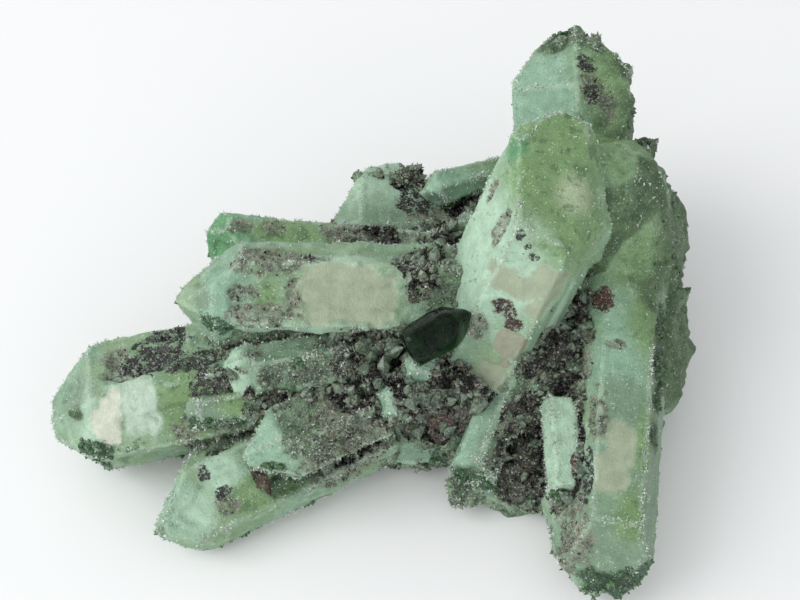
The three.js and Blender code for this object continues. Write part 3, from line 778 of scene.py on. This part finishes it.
def grain_pull(name, skin):
    """How strongly every point of the skins draws one kind of grain."""
    dark, pale = 1 - smooth(0.35, 0.6, skin["tone"]), smooth(0.4, 0.7, skin["tone"])
    black, grey = (smooth(0.4, 0.55, skin[kind]) for kind in ("black", "grey"))
    deep, olive = (smooth(0.4, 0.6, skin[kind]) for kind in ("deep", "olive"))
    rust, gap, sage = (smooth(0.4, 0.6, skin[kind]) for kind in ("rust", "crevice", "sage"))
    gap = gap * (1 - 0.9 * rust)
    edge = smooth(0.4, 0.9, skin["rim"]) * (0.35 + 0.9 * value_noise(skin["points"], 6, 32))
    edge = np.maximum(edge, 0.02 * (1 - gap) * (1 - 0.7 * olive))
    pull = {
        "frost": edge + 0.3 * gap * pale + 0.15 * sage + 0.02 * olive,
        "soot": 0.05 * black + gap * (0.1 + 0.9 * dark) + 0.02 * grey + 0.05 * rust,
        "salt": 0.04 * grey + 0.02 * black + gap * (0.12 + 0.7 * pale) + 0.1 * sage,
        "moss": 0.4 * deep + 0.03 * olive,
        "sprout": gap * (0.1 + 0.5 * pale) + 0.12 * sage,
        "shard": gap * (0.2 + 0.3 * pale),
    }[name]
    coated = 1 - smooth(0.4, 0.5, strongest(skin, BARE))
    open_air = smooth(-0.6, 0.2, skin["room"])
    above = smooth(0.5, 1.5, skin["points"][:, 2])
    return np.maximum(pull, 0) * coated * open_air * above


def strew(name, grain, skin, material):
    """Sets down one kind of grain over the skins."""
    pull = grain_pull(name, skin)
    picked = rng.choice(len(pull), grain.number, p=pull / pull.sum())
    widths = rng.random(grain.number) ** MOSTLY_SMALL
    widths = grain.least + (grain.most - grain.least) * widths
    places = skin["points"][picked] + rng.uniform(-0.5, 0.5, (grain.number, 3)) * NET
    points, faces = strewn(places, skin["outward"][picked], widths, grain.tall, grain.sides)
    points[:, 2] = np.maximum(points[:, 2], 0)
    set_down("druse_" + name, points, faces, material)


def shade(tint, scale=1.0, most=255):
    """The linear colour of a tint whose parts run from 0 to 255, scaled and held below most."""
    return tuple(((min(part * scale, most) / 255 + 0.055) / 1.055) ** 2.4 for part in tint) + (1,)


class Graph:
    """The nodes of a material or a sky, added one at a time."""

    def __init__(self, owner):
        owner.use_nodes = True
        self.owner = owner
        self.tree = owner.node_tree

    @cached_property
    def place(self):
        """Where a point lies on its piece, in mm."""
        place = self.add("TexCoord", "Object")
        return self.add("VectorMath", 0, {0: place, 3: 1 / MM}, operation="SCALE")

    def put(self, node, values):
        """Sets or links a node's inputs by name or number."""
        for key, value in values.items():
            if isinstance(value, bpy.types.NodeSocket):
                self.tree.links.new(value, node.inputs[key])
            else:
                node.inputs[key].default_value = value

    def add(self, kind, output=0, values=None, **settings):
        """Adds a node and returns one of its outputs."""
        node = self.tree.nodes.new("ShaderNode" + kind)
        for key, value in settings.items():
            setattr(node, key, value)
        self.put(node, values or {})
        return node.outputs[output]

    def surface(self, values):
        """Sets the surface's inputs, and returns the material."""
        self.put(self.tree.nodes["Principled BSDF"], values)
        return self.owner

    def noise(self, size, detail=2, roughness=0.5):
        """Cloudy values from 0 to 1 whose swells are about size mm wide."""
        return self.add("TexNoise", 0, {"Vector": self.place, "Scale": 1 / size, "Detail": detail,
                                        "Roughness": roughness})

    def cells(self, size, output="Color"):
        """Random grains about size mm wide."""
        return self.add("TexVoronoi", output, {"Vector": self.place, "Scale": 1 / size})

    def mark(self, name):
        """A marking's share, as its mesh carries it."""
        return self.add("Attribute", "Fac", attribute_name=name)

    def math(self, operation, first, second):
        """Works one value out from two."""
        return self.add("Math", 0, {0: first, 1: second}, operation=operation)

    def times(self, first, second):
        """The product of two values."""
        return self.math("MULTIPLY", first, second)

    def plus(self, first, second):
        """The sum of two values."""
        return self.math("ADD", first, second)

    def step(self, value, low, high, least=0.0, most=1.0):
        """From least below low to most above high, on an even curve."""
        return self.add("MapRange", 0, {"Value": value, "From Min": low, "From Max": high,
                                        "To Min": least, "To Max": most},
                        interpolation_type="SMOOTHSTEP")

    def mix(self, share, first, second):
        """Blends two colours."""
        return self.add("Mix", 2, {0: share, 6: first, 7: second}, data_type="RGBA")

    def pick(self, value, stops):
        """A colour for each stretch of a value from 0 to 1, with hard borders."""
        node = self.tree.nodes.new("ShaderNodeValToRGB")
        node.color_ramp.interpolation = "CONSTANT"
        while len(node.color_ramp.elements) < len(stops):
            node.color_ramp.elements.new(1)
        for element, (start, colour) in zip(node.color_ramp.elements, stops):
            element.position = start
            element.color = colour
        self.tree.links.new(value, node.inputs[0])
        return node.outputs[0]


def milky(graph, middling):
    """Mint quartz that is greener in places, with paler clouds in it."""
    greener = graph.step(graph.noise(18, 2), 0.35, 0.65)
    colour = graph.mix(greener, shade((124, 156, 130)), shade((134, 159, 121)))
    return graph.mix(graph.step(middling, 0.45, 0.7, 0, 0.75), colour, shade((158, 185, 160)))


def marked(graph, colour, middling, drift):
    """The colour with each marking over it: bits of grit where it is rough, clouds elsewhere."""
    grain = graph.add("SeparateColor", 0, {0: graph.cells(0.5)})
    lace = graph.times(graph.math("SUBTRACT", graph.noise(2, 5, 0.7), 0.5), 2)
    tone = graph.step(graph.plus(graph.mark("tone"), drift), 0.3, 0.75)
    for kind, look in KINDS.items():
        tint = look.shade
        share = graph.math("MINIMUM", graph.mark(kind), look.cover)
        share = graph.plus(share, lace if look.cover < 1 else drift)
        mask = graph.step(share, 0.5 - look.soft, 0.5 + look.soft)
        if kind in ROUGH:
            dark, light = shade(tint, 0.55), shade(tint, 1.35, 190)
            stops = [(0, dark), (0.25, shade(tint)), (0.75, light), (0.95, shade(SPARK))]
            filling = graph.mix(0.45, graph.pick(grain, stops), graph.mix(tone, dark, light))
        else:
            clouds = graph.step(middling, 0.35, 0.7)
            filling = graph.mix(clouds, shade(tint), shade(tint, 1.1, 240))
        colour = graph.mix(mask, colour, filling)
    return colour


def patched(graph, colour, coated):
    """The colour with smaller patches over it: dark ones in the greens, flecks and sugar."""
    leaf, olive = graph.mark("leaf"), graph.mark("olive")
    green = graph.times(graph.step(graph.plus(leaf, olive), 0.3, 0.7, 0.45, 1), coated)
    # Where each kind of patch may lie, its noise, from where to where that fades in, its greatest
    # share, and its shade.
    patches = [
        (green, (2.2, 5, 0.7), (0.53, 0.68), 0.6, (62, 92, 60)),
        (leaf, (3.4, 2, 0.4), (0.58, 0.68), 0.65, (66, 100, 58)),
        (olive, (5, 4, 0.7), (0.45, 0.62), 0.85, (46, 72, 42)),
        (coated, (0.9, 4, 0.7), (0.58, 0.7), 0.55, (78, 100, 76)),
        (coated, (0.6, 4, 0.7), (0.56, 0.68), 0.5, (176, 200, 178)),
    ]
    for where, noise, fade, most, tint in patches:
        share = graph.times(where, graph.step(graph.noise(*noise), *fade, 0, most))
        colour = graph.mix(share, colour, shade(tint))
    return colour


def glinting(graph, colour, coated, middling, drift):
    """The colour with pale rims and bright specks over it, and the specks' share: white sugar grains
    and painted glints.
    """
    rim = graph.math("SUBTRACT", graph.mark("rim"), graph.step(middling, 0.4, 0.6, 0, 0.5))
    rim = graph.step(graph.plus(rim, drift), 0.4, 0.9, 0, 0.45)
    colour = graph.mix(rim, colour, shade((168, 192, 168)))
    sparkle = graph.add("SeparateColor", 1, {0: graph.cells(0.32)})
    glint = graph.plus(sparkle, graph.times(rim, 0.1))
    glint = graph.plus(glint, graph.step(middling, 0.45, 0.65, -0.02, 0.01))
    # Painted glints: bright specks laid into the colour, partly white sugar grains, partly standing
    # in for glints of light.
    painted_glints = graph.times(graph.step(glint, 0.965, 0.98, 0, 0.6), coated)
    return graph.mix(painted_glints, colour, shade((214, 226, 212))), painted_glints


def sugary(graph):
    """The bumps of the sugary coat, higher on the olive and sage parts."""
    knobs = graph.plus(graph.mark("olive"), graph.mark("sage"))
    knobs = graph.times(graph.step(knobs, 0.3, 0.6, 0.3, 1), graph.noise(1.7, 5, 0.65))
    relief = graph.plus(graph.cells(0.6, "Distance"), graph.noise(0.4, 2))
    relief = graph.plus(relief, graph.times(knobs, 8))
    return graph.add("Bump", 0, {"Height": relief, "Distance": 0.3 * MM, "Strength": 0.45})


def frosted_quartz():
    """Milky green quartz under a sugary coat, with windows, grit and stains where marked."""
    graph = Graph(bpy.data.materials.new("frosted_quartz"))
    middling = graph.noise(4, 4, 0.6)
    drift = graph.times(graph.math("SUBTRACT", graph.noise(0.9, 3, 0.6), 0.5), 0.3)
    bare = graph.math("MAXIMUM", graph.mark("window"), graph.mark("plate"))
    bare = graph.math("MAXIMUM", bare, graph.mark("cream"))
    coated = graph.step(bare, 0.4, 0.55, 1, 0)
    colour = marked(graph, milky(graph, middling), middling, drift)
    colour = patched(graph, colour, coated)
    colour, painted_glints = glinting(graph, colour, coated, middling, drift)
    gloss = graph.math("MAXIMUM", painted_glints, graph.step(bare, 0.4, 0.55, 0, 0.6))
    return graph.surface({
        "Base Color": colour, "Normal": sugary(graph), "IOR": QUARTZ_IOR,
        "Roughness": graph.step(gloss, 0, 0.7, 0.55, 0.25), "Subsurface Weight": 0.25,
        "Subsurface Scale": 3 * MM, "Subsurface Radius": SCATTERING})


def grain_quartz(name, tint):
    """Small quartz points of one shade, cloudy from patch to patch."""
    graph = Graph(bpy.data.materials.new("druse_" + name))
    broad, fine = graph.noise(5, 3), graph.noise(0.7, 2)
    colour = graph.mix(graph.step(broad, 0.35, 0.65), shade(tint, 0.72), shade(tint))
    colour = graph.mix(graph.step(fine, 0.45, 0.7), colour, shade(tint, 1.3, 235))
    return graph.surface({
        "Base Color": colour, "IOR": QUARTZ_IOR, "Roughness": graph.step(fine, 0.3, 0.7, 0.2, 0.45),
        "Subsurface Weight": 0.5, "Subsurface Scale": 0.8 * MM, "Subsurface Radius": SCATTERING})


def clear_quartz():
    """Clear, deep green quartz that light passes through."""
    graph = Graph(bpy.data.materials.new("clear_quartz"))
    inside = graph.add("VolumeAbsorption", 0, {"Color": (0.06, 0.4, 0.15, 1), "Density": 350})
    graph.put(graph.tree.nodes["Material Output"], {"Volume": inside})
    return graph.surface({"Base Color": (1, 1, 1, 1), "Transmission Weight": 1, "IOR": QUARTZ_IOR,
                          "Roughness": 0.08, "Specular Tint": (0.3, 0.4, 0.3, 1)})


def plain_floor():
    """A plain pale floor with a slight cloudiness."""
    graph = Graph(bpy.data.materials.new("pale_floor"))
    colour = graph.mix(graph.noise(120, 1), (0.93, 0.93, 0.93, 1), (0.95, 0.95, 0.95, 1))
    half = FLOOR_HALF / MM
    corners = np.array([(-half, -half, 0), (half, -half, 0), (half, half, 0), (-half, half, 0)])
    mesh = bpy.data.meshes.new("floor")
    mesh.from_pydata(corners * MM, [], [(0, 1, 2, 3)])
    mesh.materials.append(graph.surface({"Base Color": colour, "Roughness": 0.6}))
    floor = bpy.data.objects.new("floor", mesh)
    bpy.context.collection.objects.link(floor)


def set_up(item, place):
    """Puts a camera or lamp at a place, turned to the cluster."""
    item.location = place
    item.rotation_euler = (Vector(TARGET) - Vector(place)).to_track_quat("-Z", "Y").to_euler()
    bpy.context.collection.objects.link(item)


def key_light():
    """A broad lamp at the upper left."""
    lamp = bpy.data.lights.new("key", "AREA")
    lamp.size = 1.2
    lamp.energy = 14
    set_up(bpy.data.objects.new("key", lamp), (-1.4, -0.3, 1.4))


def soft_sky():
    """Soft light from all around, of a brightness that changes evenly from side to side."""
    graph = Graph(bpy.data.worlds.new("studio"))
    way = graph.add("TexCoord", "Generated")
    slope = graph.add("VectorMath", "Value", {0: way, 1: SKY_SLOPE}, operation="DOT_PRODUCT")
    glow = graph.plus(slope, SKY_GLOW)
    graph.put(graph.tree.nodes["Background"], {"Color": (0.97, 0.99, 1, 1), "Strength": glow})
    bpy.context.scene.world = graph.owner


def photo_camera():
    """The photograph's camera, in front of the cluster and well above it."""
    lens = bpy.data.cameras.new("camera")
    lens.lens = 60
    lens.sensor_width = 36
    camera = bpy.data.objects.new("camera", lens)
    rise = math.radians(CAMERA_RISE)
    away = Vector((0, -math.cos(rise), math.sin(rise)))
    set_up(camera, Vector(TARGET) + away * CAMERA_DISTANCE)
    bpy.context.scene.camera = camera


skin = all_skins()
for name, grain in GRAINS.items():
    strew(name, grain, skin, grain_quartz(name, grain.shade))
clear_crystal()
plain_floor()
key_light()
soft_sky()
photo_camera()
bpy.context.scene.view_settings.view_transform = "Standard"
